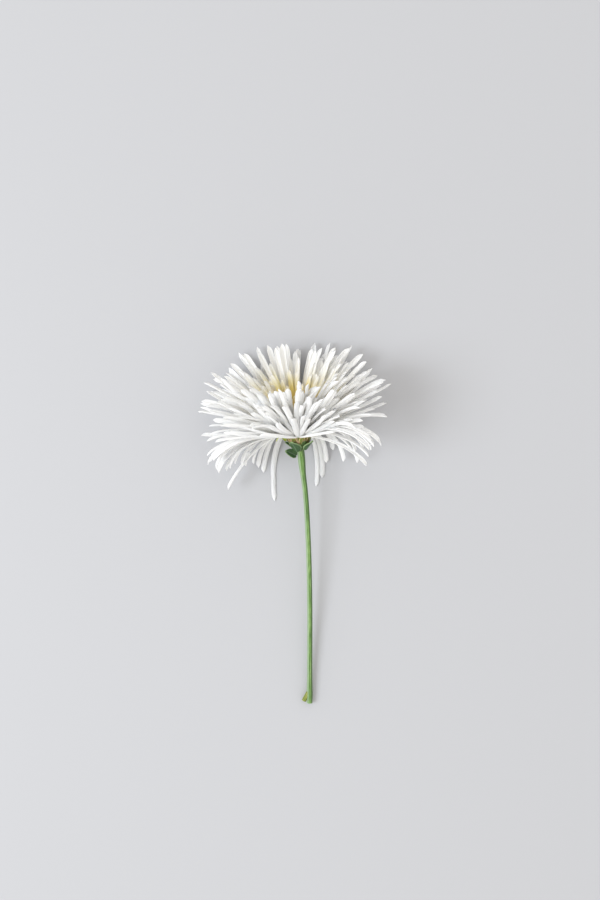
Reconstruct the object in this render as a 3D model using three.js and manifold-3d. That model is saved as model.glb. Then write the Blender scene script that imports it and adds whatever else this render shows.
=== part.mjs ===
// A cut white chrysanthemum, a many-petalled daisy, lying on its side on a flat surface.
// Millimetres and degrees. +Z is up, the stem runs towards -Y and the bloom opens towards +Y.
// The origin is on the surface, under the middle of the flower's box.

import * as THREE from "three";
import { mergeVertices } from "three/addons/utils/BufferGeometryUtils.js";
import Module from "manifold-3d";

// ---------------------------------------------------------------------------
// Driving dimensions
// ---------------------------------------------------------------------------

const GAP = 0.3; // clearance that neighbouring pieces keep

// Stem: the thin flower stalk, from its cut foot to the neck under the bloom.
const STEM_LENGTH = 108;
const STEM_RADIUS = 1.05;
const NECK_RADIUS = 1.5;
const FOOT_RADIUS = 1.25;
// Each row is a share of the length from the neck, the sideways drift and the height of the centre.
const STEM_COURSE = [
  [0, 0, 12.4],
  [0.05, 0.5, 12.0],
  [0.14, 1.7, 11.1],
  [0.3, 2.8, 9.2],
  [0.55, 3.6, 6.0],
  [0.8, 3.7, 3.1],
  [1, 3.6, FOOT_RADIUS],
];

// Stub of a side shoot that was broken off beside the cut.
const STUB_LENGTH = 5.6;
const STUB_RADIUS = 0.8;
const STUB_SPREAD = 27; // degrees away from the stem
const STUB_DROP = 0.5; // how far its end lies below its root

// Receptacle: the swollen end of the stem that carries the florets.
const CUP_DEPTH = 10.5; // from the neck to the rim
const THROAT_LENGTH = 3.4; // of the narrow lower part of the cup
const RIM_RADIUS = 4.8;
const DOME_HEIGHT = 4.5; // above the rim

// How the bloom is held.
const HEAD_TILT = 22; // degrees that its axis rises from the surface
const HEAD_LEAN = 7; // degrees that its axis turns to the left

// Disc florets: the yellow eye at the top of the dome.
const DISC_RADIUS = 1.9;
const DISC_FOOT = 0.8;
const TUBE_LENGTH = 4;
const TUBE_RADIUS = 0.3;
const TUBE_RINGS = [1, 6, 9];

// Involucral bracts: the close green scales round the cup.
const BRACT_COUNT = 8;
const BRACT_THICKNESS = 0.5;

// Small leaves below the bloom: where each sits along the axis from the rim, its azimuth round
// the axis, the angles that it stands off the cup's side at its root and tip, and its length.
const LEAF_WIDTH = 3.2;
const LEAF_THICKNESS = 0.5;
const LEAVES = {
  stem_leaf_left: { seat: -9.4, azimuth: 162, leave: 18, arrive: 36, length: 5.6 },
  stem_leaf_front: { seat: -6.6, azimuth: 126, leave: 4, arrive: 16, length: 7.6 },
  stem_leaf_right: { seat: -6.4, azimuth: 44, leave: 12, arrive: 22, length: 6.6 },
  stem_leaf_under: { seat: -7.4, azimuth: 214, leave: 20, arrive: 45, length: 6 },
};

// Ray florets: the white petals.
const FLORET_WIDTH = 2.9;
const FLORET_THICKNESS = 0.8;
const FLORET_CHANNEL = 0.5; // how far the edges stand above the middle
const FOOT_WIDTH_SHARE = 0.5; // of the room that a floret has on the dome
// Whorls that open forwards. Seat is the angle down the dome where they grow; leave and arrive
// are their angles from the bloom's axis at the root and at the tip. Fold is the share by which
// those on the upper side close up under their weight.
const WHORLS = [
  { name: "ray_outer", count: 13, seat: 70, leave: 58, arrive: 70, fold: 0.3, length: 37, layer: 0 },
  { name: "ray_middle", count: 12, seat: 55, leave: 43, arrive: 53, fold: 0.15, length: 36, layer: 1 },
  { name: "ray_inner", count: 9, seat: 39, leave: 26, arrive: 34, fold: 0, length: 22, layer: 2 },
];
const PARTING = 93; // azimuth of the parting in the florets of the upper side
const PARTING_PUSH = 13; // degrees by which the florets beside the parting lean away from it
const PARTING_REACH = 50; // azimuth from the parting where that lean has mostly gone
const AZIMUTH_JITTER = 0.16; // share of the spacing
const ANGLE_JITTER = 3; // degrees
const LENGTH_JITTER = 0.05; // share of the length
// Florets at the rim that bend back towards the stem: the azimuth where each grows, the compass
// heading of its tip on the surface, counted from +X towards +Y, its length, and its bend. A bend
// under 1 puts most of the turn near the root, and one over 1 near the tip.
const REFLEXED_SEAT = 87;
const REFLEXED_LEAVE = 80;
const REFLEXED_DIP = 16; // degrees that a tip points down
const REFLEXED = [
  [161, 177, 37, 0.5],
  [172, 250, 35, 2],
  [181, 256, 32, 1.7],
  [190, 245, 37, 0.5],
  [202, 266, 27, 1.2],
  [216, 262, 25, 0.7],
  [240, 276, 39, 0.5],
  [297, 266, 33, 0.5],
  [318, 272, 22, 0.5],
  [344, 290, 28, 0.8],
  [18, 304, 28, 1.4],
  [48, 312, 33, 1.9],
];

// How a soft floret comes down on the surface.
const LANDING = 7; // distance over which it levels out
const LAYER_PITCH = FLORET_THICKNESS + FLORET_CHANNEL + 2 * GAP; // between whorls that lie on each other

// Fineness of the faceted solids.
const FLORET_SIDES = 6;
const FLORET_STEPS = 9;
const STEM_SIDES = 10;
const STEM_STEPS = 22;
const LATHE_SIDES = 20;

// ---------------------------------------------------------------------------
// Frame of the bloom
// ---------------------------------------------------------------------------

const rad = THREE.MathUtils.degToRad;
const UP = new THREE.Vector3(0, 0, 1);
const AXIS = new THREE.Vector3(
  -Math.sin(rad(HEAD_LEAN)) * Math.cos(rad(HEAD_TILT)),
  Math.cos(rad(HEAD_LEAN)) * Math.cos(rad(HEAD_TILT)),
  Math.sin(rad(HEAD_TILT)),
);
const RIGHT = new THREE.Vector3().crossVectors(AXIS, UP).normalize();
const FRONT = new THREE.Vector3().crossVectors(RIGHT, AXIS);
const NECK = new THREE.Vector3(0, 0, STEM_COURSE[0][2]);
const RIM_CENTRE = NECK.clone().addScaledVector(AXIS, CUP_DEPTH);

// Unit vector at an azimuth round the bloom's axis: 0 points right and 90 points up and back.
function radial(azimuth) {
  return RIGHT.clone()
    .multiplyScalar(Math.cos(rad(azimuth)))
    .addScaledVector(FRONT, Math.sin(rad(azimuth)));
}

// Unit vector at an angle from the bloom's axis, towards an azimuth.
function polar(angle, azimuth) {
  return AXIS.clone()
    .multiplyScalar(Math.cos(rad(angle)))
    .addScaledVector(radial(azimuth), Math.sin(rad(angle)));
}

// Repeatable variation between -1 and 1.
function vary(index, kind) {
  const wave = Math.sin(index * 12.9898 + kind * 78.233) * 43758.5453;
  return 2 * (wave - Math.floor(wave)) - 1;
}

// ---------------------------------------------------------------------------
// Swept pieces
// ---------------------------------------------------------------------------

// A closed piece along a course of stations { at, across, up }. Size gives, at a share of the
// course from 0 to 1, the section's width, thickness and the height of its edges.
function sweep(course, sides, size) {
  const steps = course.length - 1;
  const geometry = new THREE.CylinderGeometry(1, 1, 1, sides, steps);
  const place = geometry.getAttribute("position");
  const point = new THREE.Vector3();
  for (let i = 0; i < place.count; i++) {
    const station = Math.round((0.5 + place.getY(i)) * steps);
    const { at, across, up } = course[station];
    const { width, thickness, channel } = size(station / steps);
    const side = place.getX(i);
    point
      .copy(at)
      .addScaledVector(across, (side * width) / 2)
      .addScaledVector(up, (place.getZ(i) * thickness) / 2 + channel * side * side);
    place.setXYZ(i, point.x, point.y, point.z);
  }
  geometry.deleteAttribute("normal");
  geometry.deleteAttribute("uv");
  return mergeVertices(geometry, 1e-4);
}

// Stations with their directions for a list of points. Upper is the side that the piece's face
// turns to; near the surface, below the level of each floor, the face turns flat.
function stations(points, upper, floor) {
  const curve = new THREE.CatmullRomCurve3(points);
  let carried;
  return points.map((at, i) => {
    const along = curve.getTangent(i / (points.length - 1));
    // The direction across is carried along the curve, so a blade that bends doesn't twist.
    carried = carried
      ? carried.addScaledVector(along, -carried.dot(along)).normalize()
      : new THREE.Vector3().crossVectors(along, upper).normalize();
    const across = carried.clone();
    if (floor !== undefined) {
      const flat = new THREE.Vector3().crossVectors(along, UP).normalize();
      if (flat.dot(across) < 0) flat.negate();
      const near = Math.exp(-Math.max(0, at.z - floor) / LANDING);
      across.lerp(flat, near).normalize();
    }
    const up = new THREE.Vector3().crossVectors(across, along).normalize();
    return { at, across, up };
  });
}

// Points of a soft blade that grows from a seat, first in one direction and at last in another,
// and levels out over a floor instead of passing through it. A bend under 1 comes early.
function grow(seat, first, last, length, floor, steps, bend = 1) {
  const points = [seat.clone()];
  const step = length / steps;
  const turn = new THREE.Quaternion().setFromUnitVectors(first, last);
  for (let i = 0; i < steps; i++) {
    const partial = new THREE.Quaternion().slerp(turn, ((i + 0.5) / steps) ** bend);
    const way = first.clone().applyQuaternion(partial);
    const here = points[i];
    const drop = Math.max(way.z, -Math.max(0, here.z - floor) / LANDING);
    const level = new THREE.Vector2(way.x + 0.15 * last.x, way.y + 0.15 * last.y);
    level.setLength(Math.sqrt(1 - drop * drop));
    points.push(
      here.clone().add(new THREE.Vector3(level.x, level.y, drop).multiplyScalar(step)),
    );
  }
  return points;
}

// ---------------------------------------------------------------------------
// Solids from manifold-3d
// ---------------------------------------------------------------------------

const wasm = await Module();
wasm.setup();

function solid(geometry) {
  const plain = geometry.clone();
  plain.deleteAttribute("normal");
  plain.deleteAttribute("uv");
  const merged = mergeVertices(plain, 1e-4);
  return new wasm.Manifold(
    new wasm.Mesh({
      numProp: 3,
      vertProperties: new Float32Array(merged.getAttribute("position").array),
      triVerts: new Uint32Array(merged.index.array),
    }),
  );
}

function geometryOf(manifold) {
  const mesh = manifold.getMesh();
  return new THREE.BufferGeometry()
    .setAttribute("position", new THREE.BufferAttribute(new Float32Array(mesh.vertProperties), 3))
    .setIndex(new THREE.BufferAttribute(new Uint32Array(mesh.triVerts), 1));
}

// Turns a geometry made along +Y so that +Y lies on the bloom's axis, with its zero at the rim.
function onAxis(geometry) {
  const turned = new THREE.Matrix4().makeBasis(RIGHT, AXIS, FRONT);
  return geometry.applyMatrix4(turned.setPosition(RIM_CENTRE));
}

// ---------------------------------------------------------------------------
// Materials
// ---------------------------------------------------------------------------

function finish(color, roughness) {
  return new THREE.MeshStandardMaterial({ color, roughness, metalness: 0 });
}

const stemGreen = finish(0x7fa860, 0.55);
const leafGreen = finish(0x3f6b3c, 0.6);
const bractGreen = finish(0x5d7f45, 0.6);
const discYellow = finish(0xd9bf3e, 0.7);
const petalWhite = finish(0xf6f5f0, 0.5);

const flower = new THREE.Group();
const bloom = new THREE.Group();
flower.add(bloom);

function addPiece(group, name, geometry, material) {
  const mesh = new THREE.Mesh(geometry, material);
  mesh.name = name;
  group.add(mesh);
}

// ---------------------------------------------------------------------------
// Stem with its receptacle, grown as one
// ---------------------------------------------------------------------------

// Radius of the stem at a share of its length from the neck.
function stemRadius(share) {
  const swell = (width, centre, reach) => width * Math.exp(-(((share - centre) / reach) ** 2));
  return (
    STEM_RADIUS +
    swell(NECK_RADIUS - STEM_RADIUS, 0, 0.06) +
    swell(FOOT_RADIUS - STEM_RADIUS, 0.97, 0.045)
  );
}

// Radius of the cup at a height from the rim: 0 there and -CUP_DEPTH at the neck.
function cupRadius(height) {
  const share = Math.max(0, 1 + height / (CUP_DEPTH - THROAT_LENGTH));
  return NECK_RADIUS + (RIM_RADIUS - NECK_RADIUS) * Math.sin((share * Math.PI) / 2) ** 1.3;
}

function stemAndReceptacle() {
  const course = new THREE.CatmullRomCurve3(
    STEM_COURSE.map(([share, drift, height]) => new THREE.Vector3(drift, -share * STEM_LENGTH, height)),
  );
  const points = course.getSpacedPoints(STEM_STEPS);
  points[0].addScaledVector(AXIS, 1); // into the cup, so that the two join
  const stalk = sweep(stations(points, UP), STEM_SIDES, (share) => {
    const width = 2 * stemRadius(share);
    return { width, thickness: width, channel: 0 };
  });

  const root = course.getPointAt(0.945);
  const back = course.getTangentAt(0.945).applyAxisAngle(UP, -rad(STUB_SPREAD));
  const stub = sweep(
    stations(
      [0, 0.4, 0.75, 1].map((share) =>
        root
          .clone()
          .addScaledVector(back, share * STUB_LENGTH)
          .addScaledVector(UP, -share * STUB_DROP),
      ),
      UP,
    ),
    STEM_SIDES,
    () => ({ width: 2 * STUB_RADIUS, thickness: 2 * STUB_RADIUS, channel: 0 }),
  );

  const profile = [new THREE.Vector2(0, -CUP_DEPTH), new THREE.Vector2(NECK_RADIUS, -CUP_DEPTH)];
  for (let i = 0; i <= 5; i++) {
    const height = (THROAT_LENGTH - CUP_DEPTH) * (1 - i / 5);
    profile.push(new THREE.Vector2(cupRadius(height), height));
  }
  for (let i = 1; i < 5; i++) {
    const down = (Math.PI / 2) * (1 - i / 5);
    profile.push(new THREE.Vector2(RIM_RADIUS * Math.sin(down), DOME_HEIGHT * Math.cos(down)));
  }
  profile.push(new THREE.Vector2(0, DOME_HEIGHT));
  const receptacle = onAxis(new THREE.LatheGeometry(profile, LATHE_SIDES));

  return geometryOf(solid(stalk).add(solid(stub)).add(solid(receptacle)));
}

addPiece(flower, "stem_and_receptacle", stemAndReceptacle(), stemGreen);

// ---------------------------------------------------------------------------
// Disc florets
// ---------------------------------------------------------------------------

function discFlorets() {
  const foot = new THREE.CylinderGeometry(DISC_RADIUS, DISC_RADIUS, DISC_FOOT, 12);
  foot.translate(0, DOME_HEIGHT + GAP + DISC_FOOT / 2, 0);
  let joined = solid(foot);
  TUBE_RINGS.forEach((count, ring) => {
    const radius = ((DISC_RADIUS - TUBE_RADIUS) * ring) / (TUBE_RINGS.length - 1);
    for (let i = 0; i < count; i++) {
      const azimuth = (2 * Math.PI * (i + ring / 2)) / count;
      const tube = new THREE.CylinderGeometry(TUBE_RADIUS, TUBE_RADIUS, TUBE_LENGTH, 6);
      tube.translate(
        radius * Math.cos(azimuth),
        DOME_HEIGHT + GAP + DISC_FOOT / 2 + TUBE_LENGTH / 2,
        radius * Math.sin(azimuth),
      );
      joined = joined.add(solid(tube));
    }
  });
  return onAxis(geometryOf(joined));
}

addPiece(bloom, "disc_florets", discFlorets(), discYellow);

// ---------------------------------------------------------------------------
// Involucral bracts
// ---------------------------------------------------------------------------

function bract(azimuth) {
  const lift = GAP + BRACT_THICKNESS / 2;
  const first = 0.9 * (THROAT_LENGTH - CUP_DEPTH);
  const last = -0.08 * CUP_DEPTH - GAP;
  const points = [];
  for (let i = 0; i <= 6; i++) {
    const height = first + ((last - first) * i) / 6;
    const slope = (cupRadius(height + 0.1) - cupRadius(height - 0.1)) / 0.2;
    const away = new THREE.Vector2(1, -slope).setLength(lift);
    points.push(
      RIM_CENTRE.clone()
        .addScaledVector(AXIS, height + away.y)
        .addScaledVector(radial(azimuth), cupRadius(height) + away.x),
    );
  }
  // The room for one bract at the narrow end and at the rim, less the gap to its neighbour.
  const room = (radius) => (2 * Math.PI * radius) / BRACT_COUNT - GAP;
  const size = (share) => ({
    width: THREE.MathUtils.lerp(
      0.8 * room(NECK_RADIUS + lift),
      0.94 * room(RIM_RADIUS),
      Math.sin(Math.min(1, share * 1.35) * Math.PI * 0.5),
    ) * (share > 0.99 ? 0.5 : share > 0.8 ? 0.8 : 1),
    thickness: BRACT_THICKNESS,
    channel: -0.35,
  });
  return sweep(stations(points, radial(azimuth)), FLORET_SIDES, size);
}

for (let i = 0; i < BRACT_COUNT; i++) {
  const number = String(i + 1).padStart(2, "0");
  addPiece(bloom, `involucral_bract_${number}`, bract((360 * (i + 0.5)) / BRACT_COUNT), bractGreen);
}

// ---------------------------------------------------------------------------
// Small leaves below the bloom
// ---------------------------------------------------------------------------

function leaf({ seat, azimuth, leave, arrive, length }) {
  const overBracts = seat > THROAT_LENGTH - CUP_DEPTH ? GAP + BRACT_THICKNESS : 0;
  const clear = cupRadius(seat) + GAP + LEAF_THICKNESS + overBracts;
  const root = RIM_CENTRE.clone().addScaledVector(AXIS, seat).addScaledVector(radial(azimuth), clear);
  const flare = THREE.MathUtils.radToDeg(Math.atan((RIM_RADIUS - NECK_RADIUS) / (CUP_DEPTH - THROAT_LENGTH)));
  const first = polar(flare + leave, azimuth);
  const points = grow(root, first, polar(flare + arrive, azimuth), length, LAYER_PITCH, 6);
  const size = (share) => ({
    width: Math.max(0.6, LEAF_WIDTH * Math.sin(Math.PI * (0.1 + 0.86 * share)) ** 0.8),
    thickness: LEAF_THICKNESS,
    channel: 0.4 * Math.sin(Math.PI * share),
  });
  return sweep(stations(points, AXIS), FLORET_SIDES, size);
}

for (const [name, dims] of Object.entries(LEAVES)) {
  addPiece(flower, name, leaf(dims), leafGreen);
}

// ---------------------------------------------------------------------------
// Ray florets
// ---------------------------------------------------------------------------

// Where a floret grows: an angle down the dome at an azimuth, clear of the surface.
function seatOnDome(down, azimuth) {
  const out = new THREE.Vector2(DOME_HEIGHT * Math.sin(rad(down)), RIM_RADIUS * Math.cos(rad(down)));
  out.setLength(GAP + FLORET_THICKNESS / 2);
  return RIM_CENTRE.clone()
    .addScaledVector(AXIS, DOME_HEIGHT * Math.cos(rad(down)) + out.y)
    .addScaledVector(radial(azimuth), RIM_RADIUS * Math.sin(rad(down)) + out.x);
}

// An azimuth pushed away from the parting.
function parted(azimuth) {
  const away = azimuth - PARTING > 180 ? azimuth - PARTING - 360 : azimuth - PARTING;
  return azimuth + Math.sign(away) * PARTING_PUSH * Math.exp(-((away / PARTING_REACH) ** 2));
}

function floret(seat, first, last, length, layer, spacing, bend = 1) {
  const floor = FLORET_THICKNESS / 2 + layer * LAYER_PITCH;
  const points = grow(seat, first, last, length, floor, FLORET_STEPS, bend);
  const foot = FOOT_WIDTH_SHARE * spacing;
  const size = (share) => {
    const body = THREE.MathUtils.smoothstep(share, 0, 0.7);
    const tip = share > 0.9 ? 0.45 : share > 0.8 ? 0.85 : 1;
    return {
      width: (foot + (FLORET_WIDTH - foot) * body) * tip,
      thickness: FLORET_THICKNESS * (0.8 + 0.2 * body) * (share > 0.99 ? 0.7 : 1),
      channel: FLORET_CHANNEL * body * tip,
    };
  };
  return sweep(stations(points, AXIS, floor), FLORET_SIDES, size);
}

// The florets of one whorl, which open forwards.
WHORLS.forEach(({ name, count, seat, leave, arrive, fold, length, layer }, whorl) => {
  const spacing = (2 * Math.PI * RIM_RADIUS * Math.sin(rad(seat))) / count;
  for (let i = 0; i < count; i++) {
    const index = 20 * whorl + i;
    const azimuth = PARTING + (360 / count) * (i + 0.5 + AZIMUTH_JITTER * vary(index, 1));
    const upper = Math.max(0, Math.sin(rad(azimuth))) ** 1.5;
    const swing = ANGLE_JITTER * vary(index, 2);
    const geometry = floret(
      seatOnDome(seat, azimuth),
      polar(leave * (1 - 0.5 * fold * upper), parted(azimuth)),
      polar((arrive + swing) * (1 - fold * upper), parted(azimuth)),
      length * (1 + LENGTH_JITTER * vary(index, 3)),
      layer,
      spacing,
    );
    addPiece(bloom, `${name}_${String(i + 1).padStart(2, "0")}`, geometry, petalWhite);
  }
});

// The florets at the rim that bend back towards the stem.
REFLEXED.forEach(([azimuth, heading, length, bend], i) => {
  const level = Math.cos(rad(REFLEXED_DIP));
  const last = new THREE.Vector3(
    Math.cos(rad(heading)) * level,
    Math.sin(rad(heading)) * level,
    -Math.sin(rad(REFLEXED_DIP)),
  );
  const geometry = floret(
    seatOnDome(REFLEXED_SEAT, azimuth),
    polar(REFLEXED_LEAVE, azimuth),
    last,
    length,
    0,
    (2 * Math.PI * RIM_RADIUS) / (1.4 * REFLEXED.length),
    bend,
  );
  addPiece(bloom, `ray_reflexed_${String(i + 1).padStart(2, "0")}`, geometry, petalWhite);
});

// ---------------------------------------------------------------------------
// Lay the flower on the surface, with the origin under the middle of its box
// ---------------------------------------------------------------------------

const box = new THREE.Box3().setFromObject(flower);
const middle = box.getCenter(new THREE.Vector3());
flower.position.set(-middle.x, -middle.y, -box.min.z);

export default flower;
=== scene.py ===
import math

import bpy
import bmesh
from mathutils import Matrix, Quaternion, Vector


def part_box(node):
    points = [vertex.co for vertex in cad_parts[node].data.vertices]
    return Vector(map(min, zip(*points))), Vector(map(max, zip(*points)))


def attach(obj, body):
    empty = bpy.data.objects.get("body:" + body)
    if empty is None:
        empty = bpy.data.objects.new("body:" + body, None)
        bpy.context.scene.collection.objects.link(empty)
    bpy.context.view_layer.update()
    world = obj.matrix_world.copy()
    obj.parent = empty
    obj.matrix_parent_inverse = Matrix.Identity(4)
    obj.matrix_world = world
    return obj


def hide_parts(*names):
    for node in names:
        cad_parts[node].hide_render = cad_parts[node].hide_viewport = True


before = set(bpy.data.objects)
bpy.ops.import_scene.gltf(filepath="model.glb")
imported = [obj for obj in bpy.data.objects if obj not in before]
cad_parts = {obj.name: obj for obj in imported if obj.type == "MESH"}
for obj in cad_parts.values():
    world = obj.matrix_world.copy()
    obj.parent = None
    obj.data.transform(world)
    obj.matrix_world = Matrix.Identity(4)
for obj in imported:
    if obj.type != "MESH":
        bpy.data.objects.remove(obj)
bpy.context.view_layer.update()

# %% [markdown]
# A cut white chrysanthemum, a many-petalled daisy, lying on its side on a pale surface.
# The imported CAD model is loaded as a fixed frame. It holds the stem, the cup, the small leaves
# and 46 of the petals. Here each of them gets a finely modelled piece in its place, and the
# three hundred petals between them, which the CAD leaves out, are added.
# Lengths are written in millimetres and turned into Blender's metres with MM.

MM = 0.001


def deselect_everything():
    if bpy.context.object and bpy.context.object.mode != "OBJECT":
        bpy.ops.object.mode_set(mode="OBJECT")
    for thing in bpy.context.selected_objects:
        thing.select_set(False)


def make_active(thing):
    deselect_everything()
    thing.select_set(True)
    bpy.context.view_layer.objects.active = thing


def vary(index, kind):
    """A number between -1 and 1 that is the same in every run."""
    wave = math.sin(index * 12.9898 + kind * 78.233) * 43758.5453
    return 2 * (wave - math.floor(wave)) - 1


def smooth_step(value, low, high):
    share = min(1, max(0, (value - low) / (high - low)))
    return share * share * (3 - 2 * share)


# %% [markdown]
# The bloom has its own axis, which rises a little from the surface and leans to the left.
# Everything on the bloom is placed by two angles: its azimuth round that axis, counted from the
# right over the upper side, and its angle away from the axis. The eye of the bloom is a round
# cluster on the axis, so the middle of its CAD box says where the axis runs.

# %% The bloom's frame
HEAD_TILT = math.radians(22)
HEAD_LEAN = math.radians(7)
CUP_DEPTH = 10.5 * MM
THROAT_LENGTH = 3.4 * MM  # of the narrow lower part of the cup
RIM_RADIUS = 4.8 * MM
NECK_RADIUS = 1.5 * MM
DOME_HEIGHT = 4.5 * MM
EYE_MIDDLE = DOME_HEIGHT + 2.5 * MM  # height of the eye's middle above the rim

UP = Vector((0, 0, 1))
AXIS = Vector((
    -math.sin(HEAD_LEAN) * math.cos(HEAD_TILT),
    math.cos(HEAD_LEAN) * math.cos(HEAD_TILT),
    math.sin(HEAD_TILT),
))
RIGHT = AXIS.cross(UP).normalized()
FRONT = RIGHT.cross(AXIS)

eye_low, eye_high = (Vector(corner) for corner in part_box("disc_florets"))
RIM_CENTRE = (eye_low + eye_high) / 2 - AXIS * EYE_MIDDLE
NECK = RIM_CENTRE - AXIS * CUP_DEPTH


def radial(azimuth):
    turn = math.radians(azimuth)
    return RIGHT * math.cos(turn) + FRONT * math.sin(turn)


def polar(angle, azimuth):
    turn = math.radians(angle)
    return AXIS * math.cos(turn) + radial(azimuth) * math.sin(turn)


print("neck of the stem at", [round(v * 1000, 2) for v in NECK])

# %% [markdown]
# The camera looks straight down, from about half a metre above the surface. The light is one
# large soft lamp from the left, low enough to throw the bloom's shadow to the right, and a pale
# sky fills the shadows. The floor is a plain pale sheet.

# %% Camera, floor and light
scene = bpy.context.scene
scene.view_settings.view_transform = "Standard"
VIEW_POINT = NECK + Vector((-0.6, 3.0, 0)) * MM
CAMERA_HEIGHT = 0.55
FLOOR_GREY = (0.480, 0.484, 0.508)
WINDOW_OFFSET = Vector((-1.15, -0.19, 1.25))
WINDOW_SIDE = 0.75
WINDOW_POWER = 16.4
WINDOW_COLOUR = (0.90, 0.95, 1.0)
SKY_COLOUR = (1.0, 0.98, 0.94)
SKY_STRENGTH = 1.03
camera_data = bpy.data.cameras.new("camera")
camera_data.sensor_fit = "VERTICAL"
camera_data.sensor_height = 36
camera_data.lens = 50
camera = bpy.data.objects.new("camera", camera_data)
camera.location = (VIEW_POINT.x, VIEW_POINT.y, CAMERA_HEIGHT)
scene.collection.objects.link(camera)
scene.camera = camera

deselect_everything()
bpy.ops.mesh.primitive_plane_add(size=3, location=(0, 0, -0.0002))
floor = bpy.context.object
floor.name = "floor"
floor_paint = bpy.data.materials.new("floor_paint")
floor_paint.use_nodes = True
floor_shader = floor_paint.node_tree.nodes["Principled BSDF"]
floor_shader.inputs["Base Color"].default_value = (*FLOOR_GREY, 1)
floor_shader.inputs["Roughness"].default_value = 0.6
floor.data.materials.append(floor_paint)

window_light = bpy.data.lights.new("window", "AREA")
window_light.shape = "SQUARE"
window_light.size = WINDOW_SIDE
window_light.energy = WINDOW_POWER
window_light.color = WINDOW_COLOUR
window = bpy.data.objects.new("window", window_light)
window.location = VIEW_POINT + WINDOW_OFFSET
window.rotation_euler = (VIEW_POINT - window.location).to_track_quat("-Z", "Y").to_euler()
scene.collection.objects.link(window)

world = bpy.data.worlds.new("sky")
scene.world = world
world.use_nodes = True
sky = world.node_tree.nodes["Background"]
sky.inputs["Color"].default_value = (*SKY_COLOUR, 1)
sky.inputs["Strength"].default_value = SKY_STRENGTH
print("camera at", [round(v, 4) for v in camera.location])

# %% [markdown]
# Petals, stem and leaves are all made of long cells that run from root to tip. Seen close, they
# give each surface fine lengthwise streaks in colour and in relief. That is one effect with many
# users, so it is a node group: it takes a coordinate whose Y runs along the fibres, and gives a
# mask for the colour and a height for the bump.

# %% The fibres that every finish shares


def new_node(tree, kind, **inputs):
    node = tree.nodes.new(kind)
    for name, value in inputs.items():
        node.inputs[name.replace("_", " ")].default_value = value
    return node


def make_fibres():
    group = bpy.data.node_groups.new("plant_fibres", "ShaderNodeTree")
    face = group.interface
    face.new_socket("Vector", in_out="INPUT", socket_type="NodeSocketVector")
    face.new_socket("Fineness", in_out="INPUT", socket_type="NodeSocketFloat")
    face.new_socket("Mask", in_out="OUTPUT", socket_type="NodeSocketFloat")
    face.new_socket("Height", in_out="OUTPUT", socket_type="NodeSocketFloat")
    start = group.nodes.new("NodeGroupInput")
    end = group.nodes.new("NodeGroupOutput")
    streaks = new_node(group, "ShaderNodeTexNoise", Detail=3.0, Roughness=0.6)
    blotches = new_node(group, "ShaderNodeTexNoise", Detail=2.0)
    wide = group.nodes.new("ShaderNodeMath")
    wide.operation = "MULTIPLY"
    wide.inputs[1].default_value = 0.15
    mix = group.nodes.new("ShaderNodeMix")
    mix.inputs["Factor"].default_value = 0.35
    link = group.links.new
    link(start.outputs["Vector"], streaks.inputs["Vector"])
    link(start.outputs["Vector"], blotches.inputs["Vector"])
    link(start.outputs["Fineness"], streaks.inputs["Scale"])
    link(start.outputs["Fineness"], wide.inputs[0])
    link(wide.outputs[0], blotches.inputs["Scale"])
    link(streaks.outputs["Fac"], mix.inputs["A"])
    link(blotches.outputs["Fac"], mix.inputs["B"])
    link(mix.outputs["Result"], end.inputs["Mask"])
    link(streaks.outputs["Fac"], end.inputs["Height"])
    return group


fibres = make_fibres()
print("fibre group nodes:", len(fibres.nodes))


def new_finish(name, roughness, subsurface, radius, bump):
    """A material with its shader's plain values set, ready for its colour and relief."""
    finish = bpy.data.materials.new(name)
    finish.use_nodes = True
    tree = finish.node_tree
    shader = tree.nodes["Principled BSDF"]
    shader.inputs["Roughness"].default_value = roughness
    shader.inputs["Subsurface Weight"].default_value = subsurface
    shader.inputs["Subsurface Radius"].default_value = radius
    shader.inputs["Subsurface Scale"].default_value = 0.001
    shader.inputs["Specular IOR Level"].default_value = 0.35
    relief = new_node(tree, "ShaderNodeBump", Strength=0.6, Distance=bump)
    tree.links.new(relief.outputs["Normal"], shader.inputs["Normal"])
    return finish, tree, shader, relief


def stretched(tree, source, scale):
    """Source coordinates through a Mapping node that stretches them along Y."""
    coordinates = tree.nodes.new("ShaderNodeTexCoord")
    mapping = tree.nodes.new("ShaderNodeMapping")
    mapping.inputs["Scale"].default_value = scale
    tree.links.new(coordinates.outputs[source], mapping.inputs["Vector"])
    return mapping.outputs["Vector"]


def add_fibres(tree, vector, fineness):
    node = tree.nodes.new("ShaderNodeGroup")
    node.node_tree = fibres
    node.inputs["Fineness"].default_value = fineness
    tree.links.new(vector, node.inputs["Vector"])
    return node


def ramp(tree, source, stops):
    node = tree.nodes.new("ShaderNodeValToRGB")
    elements = node.color_ramp.elements
    while len(elements) < len(stops):
        elements.new(0.5)
    for element, (place, colour) in zip(elements, stops):
        element.position = place
        element.color = (*colour, 1)
    tree.links.new(source, node.inputs["Fac"])
    return node.outputs["Color"]


def mixed(tree, kind, factor, first, second):
    """Two colours mixed. Factor and either colour may be a value or a socket."""
    node = tree.nodes.new("ShaderNodeMix")
    node.data_type = "RGBA"
    node.blend_type = kind
    # The factor and the two colours of a Mix node set to RGBA are its inputs 0, 6 and 7.
    for place, value in ((0, factor), (6, first), (7, second)):
        socket = node.inputs[place]
        if isinstance(value, bpy.types.NodeSocket):
            tree.links.new(value, socket)
        elif isinstance(value, tuple):
            socket.default_value = (*value, 1)
        else:
            socket.default_value = value
    return node.outputs[2]


# %% [markdown]
# A petal is white and slightly see-through. Towards its root the white turns to cream and then to
# gold. The UV map's V runs from root to tip, so a colour ramp on V makes the change. How far up the
# gold reaches is set for each petal by its warmth attribute: the outer petals are white all along,
# and the short inner ones are golden to their tips.

# %% Petal finish


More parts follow.
